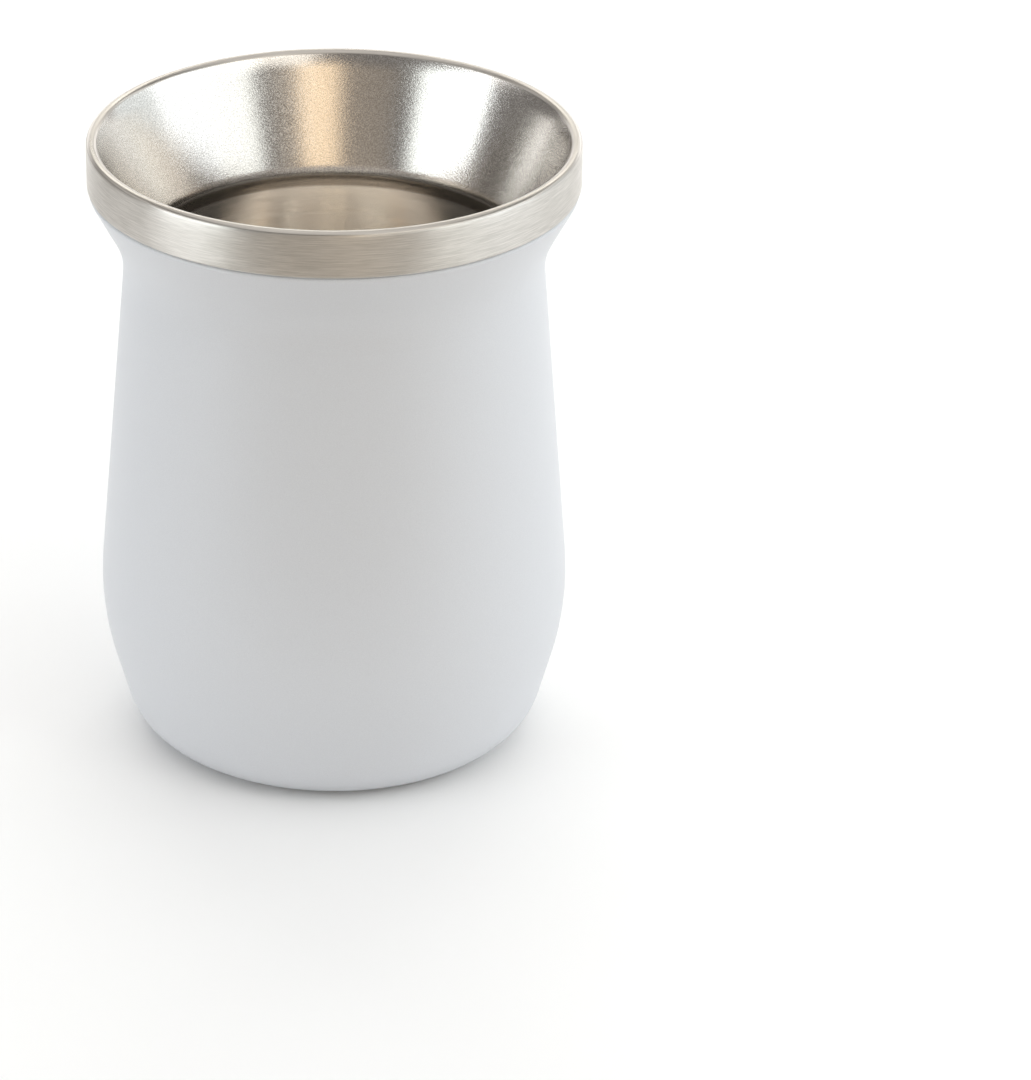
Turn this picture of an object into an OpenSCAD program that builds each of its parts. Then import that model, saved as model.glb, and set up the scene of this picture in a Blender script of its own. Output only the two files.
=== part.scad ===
// Mate cup with two steel walls and a vacuum gap between them. The painted outer wall runs from
// the foot over the belly and the waist to a flared mouth, and steps in there to a hidden neck.
// The bare steel liner is the vessel, the throat and the funnel in one, and its rolled lip turns
// down over that neck as a band. A pressed base plate closes the gap from below.
//
// Each piece is a formed sheet, drawn as half a section and turned about Z. The section follows a
// chain of circles that are joined by their common tangents. A circle is [centre, radius]: the
// radius is positive where the face bulges, negative where it is hollow and 0 at a sharp point.
// Adding a thickness to every radius gives the parallel face, so a wall is even all the way.
//
// The band's face and the lip's top are where the other sizes start from: the waist and the belly
// are set in from the band, the waist hangs below it, and the liner follows the outer wall.

/* [Rim] */
// Overall height, to the top of the lip
cup_h = 104.9; // [90:0.1:125]
// Outer diameter of the steel band
rim_d = 80; // [68:0.1:95]
// Width of the rolled lip
lip_w = 1.9; // [1.6:0.1:2.6]
// Height of the band, from the top of the lip to its lower edge
band_h = 7.7; // [6:0.1:10]
// Rounding of the lower edge of the band
band_edge_r = 0.35; // [0.1:0.05:0.35]

/* [Outer wall] */
// Sheet thickness of the outer wall
shell_wall = 0.5; // [0.4:0.05:0.8]
// How far the waist lies inside the face of the band
waist_in = 5.65; // [3.5:0.05:8]
// Radius of the hollow at the waist
waist_r = 14.4; // [8:0.1:22]
// Length of the straight flare between the waist and the shoulder under the band
flare_run = 7.6; // [3:0.1:12]
// How far the belly lies inside the face of the band
belly_in = 1.25; // [-2:0.05:3]
// Height of the belly
belly_z = 27.1; // [22:0.1:34]
// Radius of the belly, seen from the side
belly_r = 47.5; // [36:0.5:60]
// Length of the straight side between the belly and the rounding of the foot
side_run = 7.7; // [4:0.1:12]
// Rounding between the foot and the side
foot_r = 9.5; // [6:0.1:12]
// Width of the flat ring that the cup stands on
ring_w = 2.1; // [1:0.1:4]
// How far the painted wall lies inside the face of the band
shoulder_step = 0.3; // [0.15:0.05:0.4]
// Inside radius of the bend at the painted shoulder, under the band
shoulder_r = 0.1; // [0.05:0.05:0.3]
// Length of the straight stretch between the shoulder and the hollow above it
joggle_run = 0.1; // [0.05:0.05:0.3]
// Radius of the hollow between the shoulder and the neck
neck_bend_r = 0.15; // [0.1:0.05:0.3]
// How far the neck of the outer wall reaches up behind the band
neck_h = 4.5; // [2:0.1:5]

/* [Liner] */
// Sheet thickness of the liner
liner_wall = 0.5; // [0.4:0.05:0.7]
// Clear gap between the two walls at the waist and the belly
jacket_gap = 2.9; // [2:0.1:4.5]
// Clear gap between the vessel and the turned-up edges round the base plate
floor_gap = 3; // [2:0.1:6]
// Height of the throat above the waist of the outer wall
throat_rise = 2.3; // [0:0.1:4]
// Radius of the throat, seen from the side
throat_r = 6; // [3:0.1:10]
// Rounding between the vessel's floor and its side
floor_r = 9; // [5:0.1:11]
// Length of the straight side between the vessel's belly and the rounding of its floor
floor_run = 1.9; // [1:0.1:4]

/* [Base] */
// Sheet thickness of the base plate
base_wall = 0.5; // [0.4:0.05:0.8]
// How far the base plate is recessed above the foot
base_recess = 1.5; // [1:0.1:3]
// Inside radius of the bends round the base plate
base_bend_r = 0.7; // [0.4:0.1:1.2]
// Straight height of the turned-up edges, above the bend of the base plate
edge_run = 0.8; // [0.4:0.1:3]

/* [Fits] */
// Clearance all round between nested sheets
slip = 0.1; // [0.05:0.05:0.2]
// Gap between the lower edge of the band and the shoulder's bend
seam_gap = 0.1; // [0.05:0.05:0.3]

/* [Hidden] */
$fn = 128;
paint = [0.93, 0.94, 0.95];
steel = [0.74, 0.73, 0.7];
// How far a straight stretch ends inside the circles that it joins, so that the two cross cleanly
hair = 0.0005;

rim_r = rim_d / 2;
lip_r = lip_w / 2;
band_z = cup_h - band_h;
neck_r = rim_r - liner_wall - slip;
waist_x = rim_r - waist_in;
// Distance from the painted face to the inside of the vessel
jacket = shell_wall + jacket_gap + liner_wall;
// Top of the turned-up edges round the base plate, and the floor of the vessel above them
edge_z = base_recess + base_wall + base_bend_r + edge_run;
floor_z = edge_z + floor_gap + liner_wall;

// Unit vector at an angle
function heading(angle) = [cos(angle), sin(angle)];
// Angle that the straight stretch from circle a to circle b faces, outward from the metal
function facing(a, b) = let (v = b[0] - a[0]) atan2(v.y, v.x) - acos((a[1] - b[1]) / norm(v));
// How far apart the centres of two circles lie in one direction, where they lie across apart in
// the other one, their radii are p and q, and the straight stretch between them is as long as run
function apart(p, q, run, across) = sqrt(pow(p - q, 2) + pow(run, 2) - pow(across, 2));
// The sharp point p as a circle of no radius
function point(p) = [p, 0];
// The chain of the parallel face, a thickness further in, walked the other way
function far_face(chain, wall) =
    [for (i = [len(chain) - 1:-1:0]) [chain[i][0], wall - chain[i][1]]];

// Painted face, from the neck behind the band down to the opening in the base
neck_bend = [[neck_r + neck_bend_r, band_z - seam_gap], -neck_bend_r];
shoulder_out = shoulder_r + shell_wall;
shoulder_x = rim_r - shoulder_step - shoulder_out;
joggle_z = apart(shoulder_out, -neck_bend_r, joggle_run, neck_bend[0].x - shoulder_x);
shoulder = [[shoulder_x, neck_bend[0].y - joggle_z], shoulder_out];
flare_z = apart(-waist_r, shoulder_out, flare_run, waist_x + waist_r - shoulder_x);
waist = [[waist_x + waist_r, shoulder[0].y - flare_z], -waist_r];
belly = [[rim_r - belly_in - belly_r, belly_z], belly_r];
foot_x = belly[0].x + apart(foot_r, belly_r, side_run, belly_z - foot_r);
foot = [[foot_x, foot_r], foot_r];
base_out = base_bend_r + shell_wall;
base_bend = [[foot_x - ring_w, base_out], base_out];
open_r = base_bend[0].x - base_out;

// Face of the liner that looks into the gap between the walls, from the floor to the lip
vessel_side = [belly[0], belly[1] - jacket + liner_wall];
corner_r = floor_r + liner_wall;
corner_z = floor_z + floor_r;
corner_x = belly[0].x + apart(corner_r, vessel_side[1], floor_run, belly_z - corner_z);
corner = [[corner_x, corner_z], corner_r];
throat = [[waist_x - jacket + throat_r, waist[0].y + throat_rise], liner_wall - throat_r];
lip = [[rim_r - lip_r, cup_h - lip_r], liner_wall - lip_r];

// How far inside its circle a stretch ends. One that runs level or upright meets it exactly
function tuck(angle) = abs(angle - 90 * round(angle / 90)) < 0.001 ? 0 : hair;
// Point of a circle that faces an angle, with that circle's radius made smaller by less
function on(c, angle, less = 0) = c[0] + (c[1] - sign(c[1]) * less) * heading(angle);

// The part of circle c between a chord and its arc, a little longer than the arc from one angle
// to the other where a stretch ends inside the circle
module cap(c, from, to) {
    turn = sign(c[1]) * ((sign(c[1]) * (to - from) % 360 + 360) % 360);
    before = 2 * sign(c[1]) * acos(1 - tuck(from) / abs(c[1]));
    after = 2 * sign(c[1]) * acos(1 - tuck(to) / abs(c[1]));
    angles = [for (i = [0:4]) from - before + (turn + before + after) * i / 4];
    beyond = [for (a = angles) c[0] + 1.2 * c[1] * heading(a)];
    intersection() {
        translate(c[0]) circle(r = abs(c[1]));
        polygon(concat([on(c, angles[0])], beyond, [on(c, angles[4])]));
    }
}

// Closed outline round a loop of circles and points, with the metal on the left of the walk
module outline(loop) {
    count = len(loop);
    faces = [for (i = [0:count - 1]) facing(loop[i], loop[(i + 1) % count])];
    bends = [for (i = [0:count - 1]) if (loop[i][1] != 0) [loop[i], faces[(i + count - 1) % count], faces[i]]];
    corners = [for (i = [0:count - 1]) let (a = faces[(i + count - 1) % count], b = faces[i])
        each loop[i][1] == 0 ? [loop[i][0]] : [on(loop[i], a, tuck(a)), on(loop[i], b, tuck(b))]];
    difference() {
        union() {
            polygon(corners);
            for (b = bends) if (b[0][1] > 0) cap(b[0], b[1], b[2]);
        }
        for (b = bends) if (b[0][1] < 0) cap(b[0], b[1], b[2]);
    }
}

// A formed sheet: its near face follows the chain, and start and end close it between the faces
module sheet(chain, wall, start, end) {
    rotate_extrude() outline(concat(start, chain, end, far_face(chain, wall)));
}

// Painted wall: turned-up edge, foot, belly, waist, flare, shoulder and the neck behind the band
module outer_shell() {
    neck_top = band_z + neck_h;
    color(paint) sheet([base_bend, foot, belly, waist, shoulder, neck_bend], shell_wall,
        [point([open_r + shell_wall, edge_z]), point([open_r, edge_z])],
        [point([neck_r, neck_top]), point([neck_r - shell_wall, neck_top])]);
}

// Bare steel liner: vessel, throat, funnel, rolled lip and the band that hangs from it
module inner_liner() {
    edge_c = [rim_r - band_edge_r, band_z + band_edge_r];
    color(steel) sheet([corner, vessel_side, throat, lip], liner_wall,
        [point([0, floor_z]), point([0, floor_z - liner_wall])],
        [point([rim_r - liner_wall, band_z]), [edge_c, band_edge_r]]);
}

// Pressed steel disc with a turned-up flange, set into the opening under the cup
module base_plate() {
    plate_r = open_r - slip;
    bend_r = base_bend_r + base_wall;
    color(steel) sheet([[[plate_r - bend_r, base_recess + bend_r], bend_r]], base_wall,
        [point([0, base_recess + base_wall]), point([0, base_recess])],
        [point([plate_r, edge_z]), point([plate_r - base_wall, edge_z])]);
}

outer_shell();
inner_liner();
base_plate();
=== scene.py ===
# %% [markdown]
# # A mate cup with two steel walls
#
# The cup is three formed sheets: a powder-coated outer wall, a bare steel liner with a funnel
# mouth, and a small steel disc under the foot. Its exact form is already there as a packed
# model, so this script gives it what a shape alone can't have: finishes, light and a camera.
#
# Everything is in metres, and the cup stands upright on the floor with its axis on Z.

# %% Load the cup
import math

import bmesh
import bpy
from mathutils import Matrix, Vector


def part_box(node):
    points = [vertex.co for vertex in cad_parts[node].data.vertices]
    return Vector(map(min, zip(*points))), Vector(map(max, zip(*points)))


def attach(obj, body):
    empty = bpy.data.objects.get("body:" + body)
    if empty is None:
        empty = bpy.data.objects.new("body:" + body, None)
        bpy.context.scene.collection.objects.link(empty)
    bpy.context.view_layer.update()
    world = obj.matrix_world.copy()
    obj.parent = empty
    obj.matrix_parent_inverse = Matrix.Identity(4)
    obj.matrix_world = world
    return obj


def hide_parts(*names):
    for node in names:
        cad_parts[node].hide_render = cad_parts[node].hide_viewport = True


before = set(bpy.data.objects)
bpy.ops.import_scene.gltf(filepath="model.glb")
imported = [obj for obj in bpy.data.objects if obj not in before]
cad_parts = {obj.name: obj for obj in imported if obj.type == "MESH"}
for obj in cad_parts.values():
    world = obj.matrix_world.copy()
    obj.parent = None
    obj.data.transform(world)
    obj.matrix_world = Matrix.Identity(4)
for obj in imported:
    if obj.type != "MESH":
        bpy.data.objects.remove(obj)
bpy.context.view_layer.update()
MM = 0.001
print("nodes:", sorted(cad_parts))

# %% [markdown]
# ## The camera
#
# A photo of a round cup gives its camera away: the ellipse of the rim says how far the camera
# looks down, and the way the sides run together says how far away it stands. Here it stands
# 0.83 m from the middle of the cup and looks down by 25.7 degrees. The cup isn't in the middle
# of the picture, and a small shift of the lens puts it where the photo has it without turning
# the camera, which would make its upright sides lean.

# %% Camera
LOOK_DOWN = math.radians(25.743)
DISTANCE = 0.83
AIM = Vector((0, 0, 46 * MM))
SENSOR_MM = 36
# the picture's width and height, the focal length and the aim's place in the picture, in pixels
PICTURE_WIDTH, PICTURE_HEIGHT = 1031, 1080
FOCAL_LENGTH = 4998.15
AIM_FROM_LEFT, AIM_FROM_TOP = 334.19, 465.48

camera_data = bpy.data.cameras.new("camera")
camera_data.sensor_width = SENSOR_MM
camera_data.lens = SENSOR_MM * FOCAL_LENGTH / PICTURE_HEIGHT
camera_data.shift_x = (PICTURE_WIDTH / 2 - AIM_FROM_LEFT) / PICTURE_HEIGHT
camera_data.shift_y = (AIM_FROM_TOP - PICTURE_HEIGHT / 2) / PICTURE_HEIGHT
camera_data.clip_start = 10 * MM
camera = bpy.data.objects.new("camera", camera_data)
camera.location = AIM + DISTANCE * Vector((0, -math.cos(LOOK_DOWN), math.sin(LOOK_DOWN)))
camera.rotation_euler = (math.pi / 2 - LOOK_DOWN, 0, 0)
bpy.context.scene.collection.objects.link(camera)
bpy.context.scene.camera = camera
print("camera at", [round(c, 4) for c in camera.location], "lens", round(camera_data.lens, 1))

# %% [markdown]
# ## The liner, drawn with a pen and turned
#
# The liner is one sheet, but it has four finishes: brushed round the band, smooth over the lip,
# blasted in the funnel and brushed round again in the vessel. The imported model's liner has one
# material slot, so this piece is made anew, with a slot for each finish.
#
# A sheet like this is pressed and spun from a disc, and its section is a few arcs with straight
# stretches between them. It could be typed in as a long list of points, but then nobody could
# see or change its radii. Instead a pen walks along the section: it goes straight to the next
# arc and swings round the arc's centre. One full turn of the finished line about Z makes the
# sheet, as a lathe does.

# %% The arcs of the liner's section
# centre x, centre z and radius in millimetres: positive where the pen turns left
floor_middle = (0, 7, 0)
floor_corner = (24.08, 16, 9)
vessel_side = (-8.75, 27.1, 43.6)
throat = (36.45, 85.02, -6)
lip = (39.05, 103.95, -0.95)
band_edge = (39.65, 97.55, -0.35)
band_foot = (39.5, 97.2, 0)
section = [floor_middle, floor_corner, vessel_side, throat, lip, band_edge, band_foot]


def heading(a, b):
    """Direction of the straight line that touches arc a and then arc b."""
    dx, dz = b[0] - a[0], b[1] - a[1]
    return math.atan2(dz, dx) - math.asin((b[2] - a[2]) / math.hypot(dx, dz))


headings = [heading(a, b) for a, b in zip(section, section[1:])]
print("the section's directions in degrees:", [round(math.degrees(h), 1) for h in headings])

# %% Two moves of the pen
def go_to(bm, pen, x, z):
    """The pen draws a straight line to x, z in millimetres."""
    new = bmesh.ops.extrude_vert_indiv(bm, verts=[pen])["verts"][0]
    new.co = (x * MM, 0, z * MM)
    return new


def swing(bm, pen, x, z, turn, steps):
    """The pen swings about x, z in millimetres, to the left where the turn is positive."""
    last = bmesh.ops.spin(bm, geom=[pen], cent=(x * MM, 0, z * MM), axis=(0, -1, 0),
                          angle=turn, steps=steps, use_duplicate=False)["geom_last"]
    return [v for v in last if isinstance(v, bmesh.types.BMVert)][0]


print("moves of the pen:", [move.__name__ for move in (go_to, swing)])

# %% The pen walks along the section
ARC_STEP_MM = 0.8
FEWEST_STEPS = 6


def draw(bm, arcs, headings):
    """Draws the line along all the arcs. An arc of no radius is a corner or the line's end."""
    pen = bmesh.ops.create_vert(bm, co=(arcs[0][0] * MM, 0, arcs[0][1] * MM))["vert"][0]
    for (x, z, radius), before, after in zip(arcs[1:], headings, headings[1:] + headings[-1:]):
        pen = go_to(bm, pen, x + radius * math.sin(before), z - radius * math.cos(before))
        if radius:
            turn = (after - before + math.pi) % math.tau - math.pi
            if turn * radius < 0:
                turn += math.copysign(math.tau, radius)
            steps = max(FEWEST_STEPS, round(abs(turn * radius) / ARC_STEP_MM))
            pen = swing(bm, pen, x, z, turn, steps)
    return pen


liner = bmesh.new()
pen = draw(liner, section, headings)
print("points on the section:", len(liner.verts), "ends at", [round(c / MM, 3) for c in pen.co])

# %% [markdown]
# ### One turn round the axis
#
# The straight stretches get a few points too, so that no face is much longer than it is wide.
# Then the line is spun once round. The points that lie on the axis fall together and are merged
# before the faces are turned outward. The sheet gets its thickness only after that, on the side
# that nobody sees.

# %% Spin the section
STEPS_ROUND = 240
LONGEST_STRETCH = 3 * MM
TOUCHING = 0.001 * MM


def spun(bm):
    """Splits long stretches and turns the line once about Z."""
    for edge in list(bm.edges):
        cuts = int(edge.calc_length() / LONGEST_STRETCH)
        if cuts:
            bmesh.ops.subdivide_edges(bm, edges=[edge], cuts=cuts)
    bmesh.ops.spin(bm, geom=bm.verts[:] + bm.edges[:], cent=(0, 0, 0), axis=(0, 0, 1),
                   angle=math.tau, steps=STEPS_ROUND, use_merge=True, use_duplicate=False)
    bmesh.ops.remove_doubles(bm, verts=bm.verts, dist=TOUCHING)
    bmesh.ops.recalc_face_normals(bm, faces=bm.faces)


spun(liner)
print("liner:", len(liner.faces), "faces before its thickness")

# %% [markdown]
# ### Where one finish ends and the next begins
#
# The finishes meet where the form changes, as on the real cup: at the outer edge of the lip, at
# its inner edge, and just above the throat. Distance from the axis and height are enough to tell
# which finish a face belongs to.

# %% The four finishes of the liner
VESSEL, FUNNEL, LIP, BAND = range(4)
# distances from the axis, in millimetres
BAND_FACE = 39.9
BAND_LOWER_EDGE = 39.3
LIP_INSIDE = 38.4
# heights above the floor, in millimetres
BAND_LOWER_EDGE_TOP = 98
LIP_ROUNDING = 104.05
FUNNEL_FOOT = 86.2


def finish_at(point):
    """The finish of the liner's face at a point, by its distance from the axis and its height."""
    r, z = math.hypot(point.x, point.y) / MM, point.z / MM
    if r > BAND_FACE or (r > BAND_LOWER_EDGE and z < BAND_LOWER_EDGE_TOP):
        return BAND
    if z > LIP_ROUNDING or r > LIP_INSIDE:
        return LIP
    return FUNNEL if z > FUNNEL_FOOT else VESSEL


for face in liner.faces:
    face.material_index = finish_at(face.calc_center_median())
    face.smooth = True
counts = [sum(f.material_index == i for f in liner.faces) for i in (VESSEL, FUNNEL, LIP, BAND)]
print("faces for vessel, funnel, lip and band:", counts)

# %% [markdown]
# ### The liner takes its place
#
# The mesh becomes an object, and a Solidify modifier gives it the sheet's thickness, measured
# from the face that was drawn. The offset of -1 keeps that face where it is, so the liner doesn't
# grow. It rides on the cup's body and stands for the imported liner, which stays hidden.

# %% The finished liner
SHARP_EDGE = math.radians(50)
LINER_WALL = 0.5 * MM


def piece_from(bm, name):
    """A new object with this mesh, at the origin."""
    mesh = bpy.data.meshes.new(name)
    bm.to_mesh(mesh)
    bm.free()
    mesh.set_sharp_from_angle(angle=SHARP_EDGE)
    piece = bpy.data.objects.new(name, mesh)
    bpy.context.scene.collection.objects.link(piece)
    return piece


steel_liner = piece_from(liner, "steel_liner")
wall = steel_liner.modifiers.new("sheet", "SOLIDIFY")
wall.thickness = LINER_WALL
wall.offset = -1
wall.use_even_offset = True
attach(steel_liner, "root")
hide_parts("inner_liner")
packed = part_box("inner_liner")[1]
radius = max(v.co.x for v in steel_liner.data.vertices)
top = max(v.co.z for v in steel_liner.data.vertices)
print("the packed liner's radius and top in mm:", round(packed.x / MM, 2), round(packed.z / MM, 2))
print("the new liner's radius and top in mm:", round(radius / MM, 2), round(top / MM, 2))

# %% [markdown]
# ## Finishes
#
# A finish is more than a colour. What tells steel that was brushed from steel that was blasted
# is how its smallest bumps lie: in long lines round the cup, or as grains in all directions.
# Each such effect is a node group with its own values, built once and used where it is needed.
# A group gives heights, masks and changes of gloss. The shader itself stays in each material.
#
# The patterns could follow an unwrapped map, but a round thing has a simpler one: the direction
# from the axis, and the way along the section. Both come from the object's own coordinates.
#
# In the editor nodes are wired by hand. In a script the same wiring takes many short lines, so
# a few helpers come first: each adds a node, links what flows in and hands on what flows out.

# %% Helpers for nodes
# the numbers of a Mix node's sockets where it mixes colours: three inputs and the output
FACTOR, UNDER, OVER, MIXED = 0, 6, 7, 2


def add(tree, kind, inputs=None, **settings):
    """Adds a node, sets its properties, and sets or links its inputs by name or number."""
    node = tree.nodes.new("ShaderNode" + kind)
    for key, value in settings.items():
        setattr(node, key, value)
    for key, value in (inputs or {}).items():
        if isinstance(value, bpy.types.NodeSocket):
            tree.links.new(value, node.inputs[key])
        else:
            node.inputs[key].default_value = value
    return node


def maths(tree, operation, *values):
    """The result of one Math node."""
    return add(tree, "Math", dict(enumerate(values)), operation=operation).outputs[0]


def ranged(tree, value, low_in, high_in, low_out, high_out):
    """A value moved from one range to another and kept inside it."""
    return add(tree, "MapRange", {"Value": value, "From Min": low_in, "From Max": high_in,
                                  "To Min": low_out, "To Max": high_out}).outputs["Result"]


def mixed(tree, mask, under, over):
    """One colour laid over another by a mask."""
    inputs = {FACTOR: mask, UNDER: under, OVER: over}
    return add(tree, "Mix", inputs, data_type="RGBA", clamp_factor=True).outputs[MIXED]


print("helpers for nodes:", [helper.__name__ for helper in (add, maths, ranged, mixed)])

# %% Helpers for patterns
# a noise runs from 0 to 1 but seldom leaves this range
NOISE_LOW, NOISE_HIGH = 0.3, 0.7


def own_place(tree):
    """The place of a point on its piece."""
    return add(tree, "TexCoord").outputs["Object"]


def per_metre(tree, size_mm):
    """How often a size in millimetres fits in a metre, which is what a texture calls its scale."""
    return maths(tree, "DIVIDE", 1.0, maths(tree, "MULTIPLY", size_mm, MM))


def noise(tree, where, scale, detail, **more):
    """The value of a Noise texture."""
    inputs = {"Vector": where, "Scale": scale, "Detail": detail, **more}
    return add(tree, "TexNoise", inputs).outputs["Fac"]


def spread(tree, value, low_out, high_out):
    """A noise spread over a range of its own."""
    return ranged(tree, value, NOISE_LOW, NOISE_HIGH, low_out, high_out)


print("helpers for patterns:", [helper.__name__ for helper in (own_place, per_metre, noise, spread)])

# %% Helpers for groups
def new_group(name, inputs, outputs):
    """An empty node group, with its input and output nodes."""
    tree = bpy.data.node_groups.new(name, "ShaderNodeTree")
    for label, value in inputs.items():
        socket = tree.interface.new_socket(name=label, in_out="INPUT", socket_type="NodeSocketFloat")
        socket.default_value = value
    for label in outputs:
        tree.interface.new_socket(name=label, in_out="OUTPUT", socket_type="NodeSocketFloat")
    return tree, tree.nodes.new("NodeGroupInput"), tree.nodes.new("NodeGroupOutput")


def give(tree, made, **values):
    """Links what a group gives to its output node."""
    for label, value in values.items():
        tree.links.new(value, made.inputs[label])


def use(tree, group, values):
    """Places a group in a material, with values of its own."""
    node = tree.nodes.new("ShaderNodeGroup")
    node.node_tree = group
    for label, value in values.items():
        node.inputs[label].default_value = value
    return node


print("helpers for groups:", [helper.__name__ for helper in (new_group, give, use)])

# %% [markdown]
# ### Brushed round
#
# The cup turns on a lathe while an abrasive pad rests on it, so each scratch is a part of a
# circle: very fine across, and a centimetre or more long. A noise does this if its space is
# stretched: slow in the direction from the axis, and fast along the section. The group lays
# three such noises over each other: the fine lines, broader ones that vary the gloss, and a few
# deeper scratches that catch the light on their own.

# %% Group: brushed round, its space
NEAR_AXIS = 0.5 * MM

brushed, given, made = new_group(
    "brushed_round", {"Line width mm": 0.12, "Lines per turn": 18, "Deep lines": 0.5},
    ["Height", "Roughness", "Shade"])
x, y, z = add(brushed, "SeparateXYZ", {0: own_place(brushed)}).outputs
squares = maths(brushed, "ADD", maths(brushed, "MULTIPLY", x, x), maths(brushed, "MULTIPLY", y, y))
from_axis = maths(brushed, "SQRT", squares)
# x and y are divided by this for the direction. It stays above zero, also on the axis
divisor = maths(brushed, "MAXIMUM", from_axis, NEAR_AXIS)
along = maths(brushed, "SUBTRACT", z, from_axis)
lines_per_radian = maths(brushed, "DIVIDE", given.outputs["Lines per turn"], math.tau)
width = maths(brushed, "MULTIPLY", given.outputs["Line width mm"], MM)
print("brushed_round:", len(brushed.nodes), "nodes for its space")

# %% Group: brushed round, its lines
LINE_ROUGHNESS = 0.6


def line_noise(many, wide, detail, offset):
    """Lines round the axis, so many times as many and as wide as the finest ones."""
    around = maths(brushed, "MULTIPLY", lines_per_radian, many)
    across = maths(brushed, "MULTIPLY", width, wide)
    where = add(brushed, "CombineXYZ", {
        0: maths(brushed, "MULTIPLY", maths(brushed, "DIVIDE", x, divisor), around),
        1: maths(brushed, "MULTIPLY", maths(brushed, "DIVIDE", y, divisor), around),
        2: maths(brushed, "ADD", maths(brushed, "DIVIDE", along, across), offset)}).outputs["Vector"]
    return noise(brushed, where, 1.0, detail, Roughness=LINE_ROUGHNESS)


# the offsets take the three from different parts of the noise, so that they don't coincide
fine = line_noise(many=1.0, wide=1.0, detail=3.0, offset=0.0)
broad = line_noise(many=0.6, wide=5.0, detail=2.0, offset=40.0)
deep = line_noise(many=2.0, wide=1.6, detail=1.0, offset=90.0)
print("brushed_round:", len(brushed.nodes), "nodes with its three noises")

# %% Group: brushed round, what it gives
# only the crests of the third noise become scratches
CREST_LOW, CREST_HIGH = 0.66, 0.74
# how much each noise adds to the relief, and how much the broad lines and the scratches to the gloss
FINE_RELIEF, BROAD_RELIEF, SCRATCH_RELIEF = 0.7, 0.5, 0.5
BROAD_GLOSS, SCRATCH_GLOSS = 0.05, 0.08

crest = ranged(brushed, deep, CREST_LOW, CREST_HIGH, 0.0, 1.0)
scratch = maths(brushed, "MULTIPLY", crest, given.outputs["Deep lines"])
fine_lines = maths(brushed, "MULTIPLY", fine, FINE_RELIEF)
broad_lines = maths(brushed, "MULTIPLY", broad, BROAD_RELIEF)
height = maths(brushed, "SUBTRACT", maths(brushed, "ADD", fine_lines, broad_lines),
               maths(brushed, "MULTIPLY", scratch, SCRATCH_RELIEF))
rough = maths(brushed, "ADD", spread(brushed, broad, -BROAD_GLOSS, BROAD_GLOSS),
              maths(brushed, "MULTIPLY", scratch, SCRATCH_GLOSS))
give(brushed, made, Height=height, Roughness=rough, Shade=spread(brushed, fine, 0.0, 1.0))
print("brushed_round:", len(brushed.nodes), "nodes in all")

# %% [markdown]
# ### Blasted
#
# The funnel is blasted with fine beads. They leave shallow pits a tenth of a millimetre or two
# across, so the steel turns matt but still sparkles where a pit happens to face the light. Noise
# alone would look like sand. A Voronoi texture adds the rounded cells that beads press in.

# %% Group: blasted
PIT_RELIEF = 0.6
GRAIN_GLOSS = 0.06
# the shade reaches its ends sooner than the gloss does, for more sparkle
SHADE_LOW, SHADE_HIGH = 0.35, 0.65

blasted, given, made = new_group("blasted", {"Grain mm": 0.2}, ["Height", "Roughness", "Shade"])
where = own_place(blasted)
scale = per_metre(blasted, given.outputs["Grain mm"])
grain = noise(blasted, where, scale, 2.0, Roughness=0.65)
pits = add(blasted, "TexVoronoi", {"Vector": where, "Scale": scale}, feature="SMOOTH_F1")
height = maths(blasted, "ADD", grain, maths(blasted, "MULTIPLY", pits.outputs["Distance"], PIT_RELIEF))
give(blasted, made, Height=height, Roughness=spread(blasted, grain, -GRAIN_GLOSS, GRAIN_GLOSS),
     Shade=ranged(blasted, grain, SHADE_LOW, SHADE_HIGH, 0.0, 1.0))
print("blasted:", len(blasted.nodes), "nodes")

# %% [markdown]
# ### Traces of use
#
# Nothing stays perfectly even: hands and a cloth leave faint clouds in the gloss. They show as
# a change of roughness a few centimetres wide, which all the finishes share.

# %% Group: clouds of handling
NOISE_MIDDLE = 0.5
# the noise strays from its middle by about a quarter, so four times that is the whole amount
TO_WHOLE = 4

clouds, given, made = new_group("handling", {"Cloud mm": 22, "Amount": 0.04}, ["Roughness"])
scale = per_metre(clouds, given.outputs["Cloud mm"])
cloud = noise(clouds, own_place(clouds), scale, 4.0, Roughness=0.6, Distortion=0.6)
from_middle = maths(clouds, "SUBTRACT", cloud, NOISE_MIDDLE)
strength = maths(clouds, "MULTIPLY", given.outputs["Amount"], TO_WHOLE)
give(clouds, made, Roughness=maths(clouds, "MULTIPLY", from_middle, strength))
print("handling:", len(clouds.nodes), "nodes")

# %% [markdown]
# ### Painted shade at the throat
#
# The sheet turns over where the funnel becomes the vessel, and its rounding there mirrors the
# dark inside of the vessel. A ring of darker colour is painted shade that deepens that dark
# reflection. It could be a strip of faces with a material of its own, but that would end in a hard
# line. A mask by height fades out softly on both sides.

# %% Group: painted shade at the throat
ring, given, made = new_group("throat_painted_shade", {"From mm": 83.85, "To mm": 85.4, "Edge mm": 0.5}, ["Mask"])
bottom, top, edge = [given.outputs[label] for label in ("From mm", "To mm", "Edge mm")]
level = maths(ring, "DIVIDE", add(ring, "SeparateXYZ", {0: own_place(ring)}).outputs["Z"], MM)
above = ranged(ring, level, maths(ring, "SUBTRACT", bottom, edge), bottom, 0.0, 1.0)
below = ranged(ring, level, top, maths(ring, "ADD", top, edge), 1.0, 0.0)
give(ring, made, Mask=maths(ring, "MULTIPLY", above, below))
print("throat_painted_shade:", len(ring.nodes), "nodes")

# %% [markdown]
# ### Powder coat
#
# Paint powder melts in the oven into a skin about 0.08 mm thick that doesn't quite level out.
# What stays is a soft orange peel with waves of a millimetre or so, and a far finer tooth that
# makes it satin.

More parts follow.
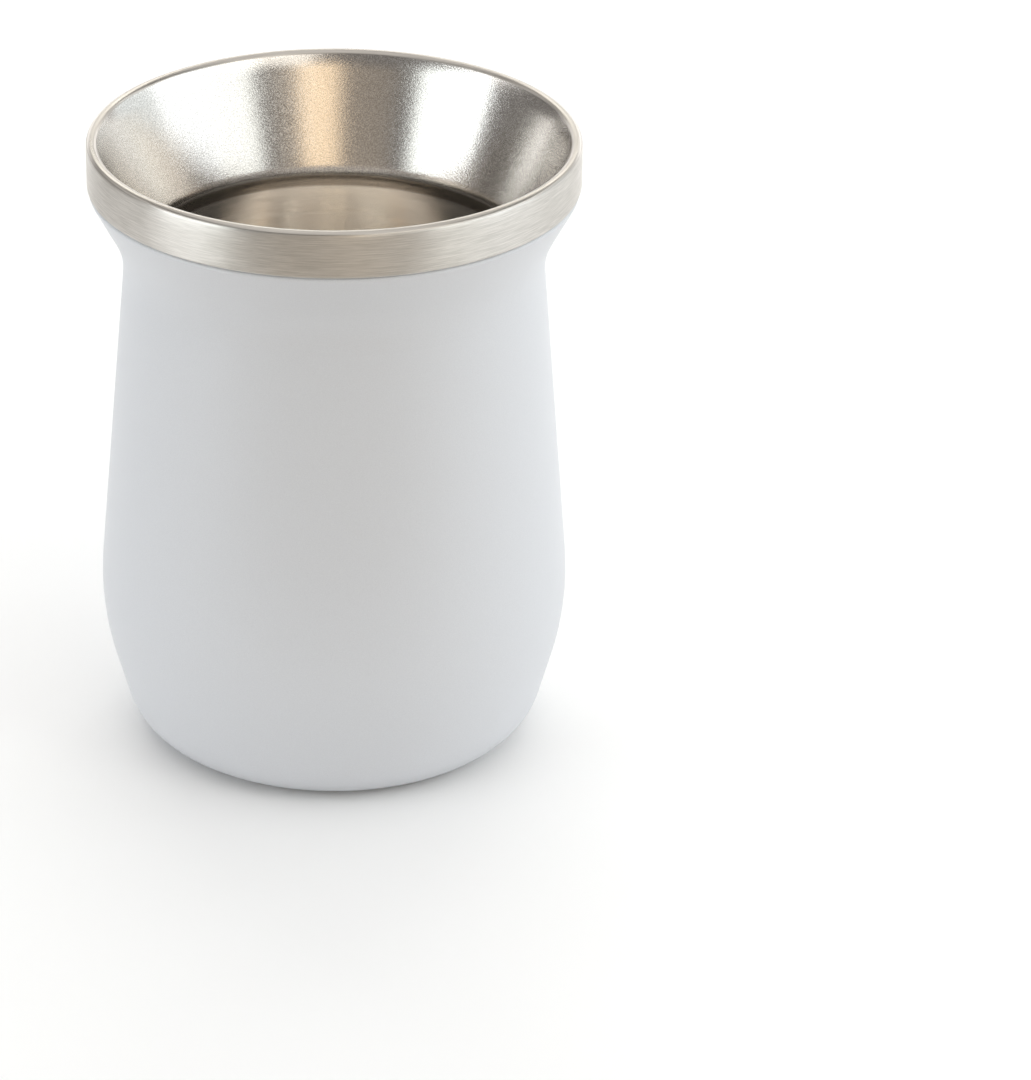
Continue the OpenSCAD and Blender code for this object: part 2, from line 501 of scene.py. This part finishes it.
# %% Group: powder coat
PEEL_RELIEF, TOOTH_RELIEF = 0.8, 0.2
TOOTH_GLOSS = 0.05

powder, given, made = new_group("powder_coat", {"Peel mm": 1.1, "Tooth mm": 0.16},
                                ["Height", "Roughness", "Shade"])
where = own_place(powder)
peel = noise(powder, where, per_metre(powder, given.outputs["Peel mm"]), 1.0)
tooth = noise(powder, where, per_metre(powder, given.outputs["Tooth mm"]), 2.0)
height = maths(powder, "ADD", maths(powder, "MULTIPLY", peel, PEEL_RELIEF),
               maths(powder, "MULTIPLY", tooth, TOOTH_RELIEF))
give(powder, made, Height=height, Roughness=spread(powder, tooth, -TOOTH_GLOSS, TOOTH_GLOSS),
     Shade=spread(powder, tooth, 0.0, 1.0))
print("powder_coat:", len(powder.nodes), "nodes")

# %% [markdown]
# ### From an effect to a material
#
# All the materials of the cup are built alike. One of the effects above gives height, gloss and
# shade, the clouds of handling change the gloss a little, and a Principled shader makes a
# surface of it all. So a finish is told by a few values: the darker and the lighter colour that
# its shade runs between, how metallic and how rough it is, and how deep its relief is.
#
# Brushed steel needs one thing more. Its lines are too fine to show one by one from far away,
# but they still stretch each highlight across themselves. The shader's anisotropy does that, with
# a tangent that runs round the axis.

# %% The material that carries a finish
def finish(name, effect, values, dark, light, metallic, roughness, relief_mm, clouding=0.04, shader=None):
    """A material: an effect, the clouds of handling, and the shader with values of its own."""
    material = bpy.data.materials.new(name)
    material.use_nodes = True
    tree = material.node_tree
    tree.nodes.clear()
    surface = add(tree, "BsdfPrincipled", {"Metallic": metallic, **(shader or {})})
    detail = use(tree, effect, values).outputs
    handling = use(tree, clouds, {"Amount": clouding}).outputs
    colour = mixed(tree, detail["Shade"], (*dark, 1), (*light, 1))
    change = maths(tree, "ADD", detail["Roughness"], handling["Roughness"])
    bump = add(tree, "Bump", {"Height": detail["Height"], "Distance": relief_mm * MM, "Strength": 1.0})
    tree.links.new(colour, surface.inputs["Base Color"])
    tree.links.new(maths(tree, "ADD", change, roughness), surface.inputs["Roughness"])
    tree.links.new(bump.outputs["Normal"], surface.inputs["Normal"])
    add(tree, "OutputMaterial", {"Surface": surface.outputs["BSDF"]})
    return material


def painted_throat_shade_on(material, colour):
    """Lays the throat's painted shade over a material's colour."""
    tree = material.node_tree
    base_colour = tree.nodes["Principled BSDF"].inputs["Base Color"]
    mask = use(tree, ring, {}).outputs["Mask"]
    over = mixed(tree, mask, base_colour.links[0].from_socket, (*colour, 1))
    tree.links.new(over, base_colour)


def turned(material):
    """Gives a brushed gloss its direction, round the axis."""
    tree = material.node_tree
    tangent = add(tree, "Tangent", direction_type="RADIAL", axis="Z").outputs["Tangent"]
    tree.links.new(tangent, tree.nodes["Principled BSDF"].inputs["Tangent"])


print("ways to a finish:", [helper.__name__ for helper in (finish, painted_throat_shade_on, turned)])

# %% [markdown]
# ### The paint
#
# In the photo the paint is pale grey where it faces the camera and nearly white along its sides.
# A colour close to white would leave no room between the two. So the colour stays at about 0.6
# and a touch cool, and a raised specular level brightens the sides, where light grazes them.

# %% White powder coat
paint = finish("white_powder_coat", powder, {}, dark=(0.592, 0.603, 0.635), light=(0.632, 0.647, 0.676),
               metallic=0.0, roughness=0.38, relief_mm=0.012, shader={"Specular IOR Level": 0.8})
print("paint:", len(paint.node_tree.nodes), "nodes")

# %% [markdown]
# ### Brushed steel: band, vessel and base plate
#
# The band was brushed with a coarse pad. It has the roughest steel of the cup and the strongest
# stretch, so the side panels show on it as two broad, upright bright places.
#
# In the vessel light bounces four to six times before it comes out again, and the steel takes
# its share each time. With the band's colour it would be nearly black in there. So the steel is
# much paler and smoother, and a little less than fully metallic, which lifts its darkest parts.
#
# The base plate is seen only from below. It has a plain finish between the two.

# %% Brushed steel
# painted shade: the darker colour laid on at the throat, where the steel mirrors the dark vessel
THROAT_PAINTED_SHADE = (0.38, 0.34, 0.295)
ACROSS_THE_LINES = 0.25

band_steel = finish(
    "band_brushed", brushed, {"Lines per turn": 60, "Deep lines": 0.6},
    dark=(0.50, 0.475, 0.437), light=(0.705, 0.67, 0.628), metallic=1.0, roughness=0.40,
    relief_mm=0.005, shader={"Anisotropic": 0.85, "Anisotropic Rotation": ACROSS_THE_LINES})
vessel_steel = finish(
    "vessel_brushed", brushed, {"Line width mm": 0.18, "Deep lines": 0.3},
    dark=(0.87, 0.835, 0.79), light=(0.95, 0.915, 0.865), metallic=0.95, roughness=0.14,
    relief_mm=0.0015, shader={"Anisotropic": 0.5, "Anisotropic Rotation": ACROSS_THE_LINES})
base_steel = finish(
    "base_brushed", brushed, {"Line width mm": 0.25},
    dark=(0.54, 0.53, 0.51), light=(0.62, 0.61, 0.59), metallic=1.0, roughness=0.3,
    relief_mm=0.004, shader={"Anisotropic": 0.5, "Anisotropic Rotation": ACROSS_THE_LINES})
for material in (band_steel, vessel_steel, base_steel):
    turned(material)
# lays painted shade on the vessel's steel at the throat
painted_throat_shade_on(vessel_steel, THROAT_PAINTED_SHADE)
print("nodes:", {m.name: len(m.node_tree.nodes) for m in (band_steel, vessel_steel, base_steel)})

# %% [markdown]
# ### Smooth steel: the lip
#
# A roller has smoothed the lip, so its lines are faint. It is so narrow and so round that it
# mirrors the whole room in one thin line. A darker steel keeps that line from glowing.

# %% Smoothed steel
lip_steel = finish("lip_smoothed", brushed, {"Line width mm": 0.2, "Deep lines": 0.2},
                   dark=(0.39, 0.36, 0.325), light=(0.48, 0.45, 0.41), metallic=1.0, roughness=0.32,
                   relief_mm=0.002)
print("lip:", len(lip_steel.node_tree.nodes), "nodes")

# %% [markdown]
# ### Blasted steel: the funnel
#
# The grains are 0.2 mm across, a little more than one pixel of the picture, and their two
# colours lie far apart, so the cone sparkles like the real one. The steel between the grains is
# fairly smooth, so the mirrored panels still have edges.

# %% Blasted steel
funnel_steel = finish("funnel_blasted", blasted, {"Grain mm": 0.21},
                      dark=(0.48, 0.45, 0.415), light=(0.76, 0.73, 0.695), metallic=1.0,
                      roughness=0.19, relief_mm=0.012, clouding=0.01)
# lays painted shade on the funnel's steel at the throat
painted_throat_shade_on(funnel_steel, THROAT_PAINTED_SHADE)
print("funnel:", len(funnel_steel.node_tree.nodes), "nodes, with the throat's ring")

# %% [markdown]
# ### Each piece gets its finish
#
# The liner's four slots are filled in the order in which its finishes were numbered. The outer
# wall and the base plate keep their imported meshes, because their shape is right as it is. Only
# the material in their slot changes.

# %% Materials in their slots
for material in (vessel_steel, funnel_steel, lip_steel, band_steel):
    steel_liner.data.materials.append(material)
for node, material in (("outer_shell", paint), ("base_plate", base_steel)):
    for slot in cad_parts[node].material_slots:
        slot.material = material
print("materials:", [m.name for m in bpy.data.materials if m.users])

# %% [markdown]
# ## Floor
#
# The cup stands on a pale matt floor. It is a disc so large that its edge is never seen, and
# light from all the panels lies on it, so it comes out almost white with a soft shadow at the
# foot of the cup.

# %% Floor
FLOOR_RADIUS = 6.0
FLOOR_COLOUR = (0.92, 0.92, 0.92)
FLOOR_ROUGHNESS = 0.7


def plain(name, colour, roughness):
    """An even matt material, for what isn't part of the cup."""
    material = bpy.data.materials.new(name)
    material.use_nodes = True
    surface = material.node_tree.nodes["Principled BSDF"]
    surface.inputs["Base Color"].default_value = (*colour, 1)
    surface.inputs["Roughness"].default_value = roughness
    return material


ground = bmesh.new()
bmesh.ops.create_circle(ground, cap_ends=True, segments=96, radius=FLOOR_RADIUS)
floor = piece_from(ground, "floor")
floor.data.materials.append(plain("pale_floor", FLOOR_COLOUR, FLOOR_ROUGHNESS))
print("floor:", round(floor.dimensions.x, 2), "m across")

# %% [markdown]
# ## Light
#
# The light is soft and comes from big panels, as round every shiny product. Steel shows nothing
# but what stands around it, so it is bright where it mirrors a panel and dark where it mirrors a
# gap between two. A panel's place is found by following the camera's line of sight: it meets the
# steel where the photo is bright, bounces off as from a mirror, and the panel belongs where it
# goes then.
#
# A lamp is usually given by its power, but what steel shows of a panel is its radiance, however
# big it is. So the panels are given by radiance, and the power follows from their size.

# %% A soft panel
PANEL_AIM = Vector((0, 0, 80 * MM))


def panel(name, azimuth, height, distance, width, tall, radiance, colour=(1, 1, 1)):
    """A panel that faces the cup, from azimuth 0 at the camera to 90 on its right. Gives its watts."""
    data = bpy.data.lights.new(name, "AREA")
    data.shape = "RECTANGLE"
    data.size = width
    data.size_y = tall
    data.energy = math.pi * width * tall * radiance
    data.color = colour
    lamp = bpy.data.objects.new(name, data)
    angle = math.radians(azimuth)
    lamp.location = (distance * math.sin(angle), -distance * math.cos(angle), height)
    lamp.rotation_euler = (PANEL_AIM - lamp.location).to_track_quat("-Z", "Y").to_euler()
    bpy.context.scene.collection.objects.link(lamp)
    return data.energy


print("the panels face a point", round(PANEL_AIM.z / MM), "mm above the floor")

# %% [markdown]
# The funnel is hollow and the band bulges, so a panel on the right shows in the left half of the
# funnel, and on the right of the band. The two panels on the left are narrower and brighter.

# %% Panels at the sides
# azimuth, height, distance, width, tall, radiance and colour
sides = [
    panel("right_front", 57, 0.45, 1.2, 0.55, 0.9, 1.65, (0.94, 1.0, 1.0)),
    panel("right_mid", 85, 0.45, 1.2, 0.66, 0.9, 1.8, (0.88, 0.95, 1.0)),
    panel("right_back", 116, 0.36, 1.2, 0.69, 0.7, 1.05, (0.87, 0.96, 1.0)),
    panel("right_far", 146, 0.36, 1.2, 0.69, 0.7, 0.40),
    panel("left_front", -55, 0.36, 1.2, 0.38, 0.7, 2.3, (0.90, 0.98, 1.0)),
    panel("left_side", -73, 0.36, 1.2, 0.50, 0.7, 2.9, (0.90, 0.96, 1.0)),
]
print("panels at the sides in watts:", [round(power, 2) for power in sides])

# %% [markdown]
# Behind and above the cup the panels are wide and even. The high ones reach the vessel's far
# wall after several bounces, the low one gives the outer edges of the paint their brightness,
# and the one overhead lights the floor.

# %% Panels behind and above
behind = [
    panel("high_left_back", -106, 0.75, 1.2, 1.3, 0.33, 1.1),
    panel("high_right_back", 110, 0.75, 1.2, 1.3, 0.33, 0.9),
    panel("low_back", 180, 0.25, 1.5, 2.4, 0.5, 2.0),
    panel("high_back", 180, 1.0, 1.3, 1.6, 0.6, 2.6, (1.0, 1.0, 0.95)),
    panel("top", 0, 1.6, 0.02, 2.2, 2.2, 0.95),
]
print("panels behind and above in watts:", [round(power, 2) for power in behind])

# %% [markdown]
# From the front comes less light, and it is warm. A small panel above the camera is mirrored in
# the middle of the funnel as a golden patch, and a faint wide one fills the steel around it. One
# that stands higher and more to the right shows in the lower left of the funnel, after two
# bounces.

# %% Panels in front
front = [
    panel("high_right", 36, 0.95, 1.0, 0.95, 0.45, 1.5, (1.0, 0.98, 0.92)),
    panel("warm_patch", 8, 0.70, 1.3, 0.50, 0.32, 1.45, (1.0, 0.77, 0.50)),
    panel("front_fill", 0, 0.5, 1.4, 1.7, 0.7, 0.22, (1.0, 0.80, 0.55)),
]
print("panels in front in watts:", [round(power, 2) for power in front])

# %% [markdown]
# The dim room itself fills what no panel reaches. The picture is shown with the Standard view
# transform, because the default one would turn the white floor grey.

# %% The room
ROOM_COLOUR = (1.0, 0.96, 0.93)
ROOM_STRENGTH = 0.24

world = bpy.data.worlds.new("studio")
world.use_nodes = True
background = world.node_tree.nodes["Background"]
background.inputs["Color"].default_value = (*ROOM_COLOUR, 1)
background.inputs["Strength"].default_value = ROOM_STRENGTH
bpy.context.scene.world = world
bpy.context.scene.view_settings.view_transform = "Standard"
print("the room's strength:", ROOM_STRENGTH, "against", round(sum(sides + behind + front), 1), "W of panels")

# %% [markdown]
# The band stands upright and the camera looks down on it, so it mirrors the floor in front of
# the cup. In the photo its middle is darker and warmer than a pale floor would make it. A matt
# card that lies there gives it that tone. The camera doesn't see the card, it throws no shadow,
# and its underside lets light through, so the floor below it stays even in every view.

# %% The warm card in front
CARD_ROUGHNESS = 0.9


def card(name, centre, width, depth, colour):
    """A matt card that lies flat. Only the cup above sees it."""
    bm = bmesh.new()
    bmesh.ops.create_grid(bm, x_segments=1, y_segments=1, size=0.5)
    bmesh.ops.scale(bm, vec=(width, depth, 1), verts=bm.verts)
    bmesh.ops.translate(bm, vec=centre, verts=bm.verts)
    piece = piece_from(bm, name)
    material = plain(name, colour, CARD_ROUGHNESS)
    tree = material.node_tree
    matt = tree.nodes["Principled BSDF"].outputs["BSDF"]
    underside = add(tree, "NewGeometry").outputs["Backfacing"]
    clear = add(tree, "BsdfTransparent").outputs["BSDF"]
    # inputs of this node: the factor, what shows at 0 and what shows at 1
    both = add(tree, "MixShader", {0: underside, 1: matt, 2: clear}).outputs["Shader"]
    tree.links.new(both, tree.nodes["Material Output"].inputs["Surface"])
    piece.data.materials.append(material)
    piece.visible_camera = False
    piece.visible_shadow = False
    return piece


warm_card = card("warm_card", centre=(0, -0.29, 0.004), width=0.42, depth=0.34,
                 colour=(0.48, 0.42, 0.345))
print("card:", [round(side, 2) for side in warm_card.dimensions], "m")
